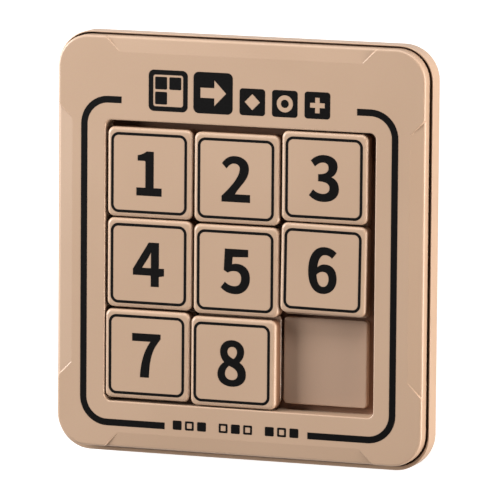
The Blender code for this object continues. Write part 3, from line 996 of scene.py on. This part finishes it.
class PUZZLE_OT_tiles(bpy.types.Operator):
    """Make the eight moulded tile caps"""

    bl_idname = "puzzle.tiles"
    bl_label = "Tiles"

    def execute(self, context):
        for number in TILE_NUMBERS:
            tile = f"tile_{number}"
            mesh = tile_cap_mesh(number, context.scene.puzzle_tile, context.scene.puzzle_print.ink)
            add_piece(f"{tile}_face", mesh, "moulded_abs_tile", tile, [f"{tile}_cap"])
        return {"FINISHED"}


class PUZZLE_OT_inner_parts(bpy.types.Operator):
    """Give the tile covers, magnets and steel squares their finishes"""

    bl_idname = "puzzle.inner_parts"
    bl_label = "Inner parts"

    def execute(self, context):
        finishes = {
            "cover": "moulded_abs_tile",
            "magnet": "nickel_plated_magnet",
            "square": "zinc_plated_steel",
        }
        for name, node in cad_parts.items():
            for word, kind in finishes.items():
                if word in name:
                    node.material_slots[0].material = finish_of(kind)
        return {"FINISHED"}


class PUZZLE_OT_tile_prints(bpy.types.Operator):
    """Print a rounded square and a number on each tile"""

    bl_idname = "puzzle.tile_prints"
    bl_label = "Tile printing"

    def execute(self, context):
        marks = context.scene.puzzle_print
        square = quarter_turns([(marks.square / 2, marks.square / 2)])
        for number in TILE_NUMBERS:
            name = f"tile_{number}_print"
            path = wire_mesh(name, square, [(0, 1), (1, 2), (2, 3), (3, 0)])
            line = printed_line(path, marks.square_line, marks.square_corner)
            line.transform(Matrix.Translation((marks.square_x, marks.square_y, 0.0)))
            digit = inked_mesh(name, DIGITS[number], marks.ink * INK_SOLID, marks.swell)
            digit.transform(Matrix.Translation((marks.number_x, 0.0, 0.0)))
            mesh = joined(name, [line, digit])
            middle = box_middle(f"tile_{number}_cap")
            across = middle.x + PRINT_SHIFTS.get(number, 0.0) * MM
            spot = Matrix.Translation((across, middle.y, CAP_HIGH.z - marks.ink * INK_SOLID / 2))
            turned = Matrix.Rotation(TILE_TURNS.get(number, 0.0), 4, "Z")
            mesh.transform(spot @ turned)
            add_piece(name, mesh, "pad_printed_ink", f"tile_{number}")
        return {"FINISHED"}


class PUZZLE_OT_case_prints(bpy.types.Operator):
    """Print the two brackets round the well and the plain ornaments above and below it"""

    bl_idname = "puzzle.case_prints"
    bl_label = "Case printing"

    def execute(self, context):
        marks = context.scene.puzzle_print
        height = BEZEL_HIGH.z - marks.ink * INK_SOLID / 2
        path = bracket_path(marks.bracket_x, marks.bracket_y)
        brackets = printed_line(path, marks.bracket_line, marks.bracket_corner)
        brackets.transform(Matrix.Translation((*[place * MM for place in BRACKET_CENTRE], height)))
        mesh = joined("bezel_brackets", [brackets])
        add_piece("bezel_brackets", mesh, "pad_printed_ink", "case")

        ornaments = {"title_ornament": UPPER_ORNAMENT, "foot_ornament": LOWER_ORNAMENT}
        for name, outlines in ornaments.items():
            mesh = inked_mesh(name, outlines, marks.ink * INK_SOLID)
            mesh.transform(Matrix.Translation((0.0, 0.0, height)))
            add_piece(name, joined(name, [mesh]), "pad_printed_ink", "case")
        return {"FINISHED"}


def add_light(name, spot, aim, size, power, tint=(1.0, 1.0, 1.0)):
    light = bpy.data.lights.new(name, "AREA")
    light.shape, light.size, light.size_y = "RECTANGLE", size[0], size[1]
    light.energy, light.color = power, tint
    lamp = bpy.data.objects.new(name, light)
    lamp.location = spot
    lamp.rotation_euler = (Vector(aim) - Vector(spot)).to_track_quat("-Z", "Y").to_euler()
    bpy.context.scene.collection.objects.link(lamp)


class PUZZLE_OT_stage(bpy.types.Operator):
    """Lay the white floor, hang the lights and set up the camera"""

    bl_idname = "puzzle.stage"
    bl_label = "Stage"

    def execute(self, context):
        bm = bmesh.new()
        bmesh.ops.create_grid(bm, x_segments=8, y_segments=8, size=2.5)
        mesh = bpy.data.meshes.new("floor")
        bm.to_mesh(mesh)
        bm.free()
        mesh.transform(Matrix.Translation((0.0, 0.0, -0.05 * MM)))
        mesh.materials.append(finish_of("opal_light_table"))
        guide("floor", mesh)

        world = bpy.data.worlds.new("dim_studio")
        world.use_nodes = True
        world.node_tree.nodes["Background"].inputs["Color"].default_value = (1.0, 0.97, 0.95, 1.0)
        world.node_tree.nodes["Background"].inputs["Strength"].default_value = 0.06
        context.scene.world = world
        middle = (0.0, 0.0, 0.0)
        add_light("key_softbox", (-0.71, 0.21, 0.37), middle, (0.5, 0.4), 12.6)
        add_light("back_softbox", (0.03, 0.50, 0.26), middle, (0.5, 0.16), 2.2)
        add_light("right_softbox", (0.75, -0.25, 0.21), middle, (0.5, 0.2), 3.6, (1.0, 0.95, 0.9))
        add_light("right_strip", (0.80, 0.05, 0.10), middle, (0.6, 0.1), 8.0, (1.0, 0.94, 0.88))
        add_light("front_softbox", (-0.13, -0.78, 0.16), middle, (0.6, 0.16), 1.0)

        context.scene.view_settings.view_transform = "Standard"
        lens = bpy.data.cameras.new("camera")
        lens.sensor_width, lens.lens = 36.0, 480.08
        lens.clip_start, lens.clip_end = 0.1, 20.0
        camera = bpy.data.objects.new("camera", lens)
        tilt, towards, roll = math.radians(21.350), math.radians(23.195), math.radians(0.456)
        level_part = math.sin(tilt)
        back = Vector((level_part * math.cos(towards), level_part * math.sin(towards), math.cos(tilt)))
        up = (Vector((0.0, 1.0, 0.0)) - back * back.y).normalized()
        up = Matrix.Rotation(roll, 3, back) @ up
        right = up.cross(back)
        axes = Matrix((right, up, back)).transposed()
        aim = Vector((2.914, 0.487, 11.0)) * MM
        distance = 1.6301
        camera.matrix_world = Matrix.Translation(aim + back * distance) @ axes.to_4x4()
        context.scene.collection.objects.link(camera)
        context.scene.camera = camera
        return {"FINISHED"}


OPERATORS = (
    PUZZLE_OT_case_top,
    PUZZLE_OT_pads,
    PUZZLE_OT_case_bottom,
    PUZZLE_OT_screws,
    PUZZLE_OT_tiles,
    PUZZLE_OT_inner_parts,
    PUZZLE_OT_tile_prints,
    PUZZLE_OT_case_prints,
    PUZZLE_OT_stage,
)


class PUZZLE_PT_panel(bpy.types.Panel):
    """The puzzle's pieces and settings"""

    bl_idname = "PUZZLE_PT_panel"
    bl_label = "Sliding Number Puzzle"
    bl_space_type = "VIEW_3D"
    bl_region_type = "UI"
    bl_category = "Puzzle"

    def draw(self, context):
        for operator in OPERATORS:
            self.layout.operator(operator.bl_idname)
        for setting, group in SETTINGS.items():
            box = self.layout.box()
            box.label(text=group.__doc__)
            for prop in group.__annotations__:
                box.prop(getattr(context.scene, setting), prop)


def register():
    for setting, group in SETTINGS.items():
        bpy.utils.register_class(group)
        setattr(bpy.types.Scene, setting, PointerProperty(type=group))
    for item in (*OPERATORS, PUZZLE_PT_panel):
        bpy.utils.register_class(item)


def unregister():
    for item in reversed((*OPERATORS, PUZZLE_PT_panel)):
        bpy.utils.unregister_class(item)
    for setting, group in reversed(SETTINGS.items()):
        delattr(bpy.types.Scene, setting)
        bpy.utils.unregister_class(group)


def main():
    register()
    bpy.ops.puzzle.case_top()
    bpy.ops.puzzle.pads()
    bpy.ops.puzzle.case_bottom()
    bpy.ops.puzzle.screws()
    bpy.ops.puzzle.tiles()
    bpy.ops.puzzle.inner_parts()
    bpy.ops.puzzle.tile_prints()
    bpy.ops.puzzle.case_prints()
    bpy.ops.puzzle.stage()


if __name__ == "__main__":
    main()
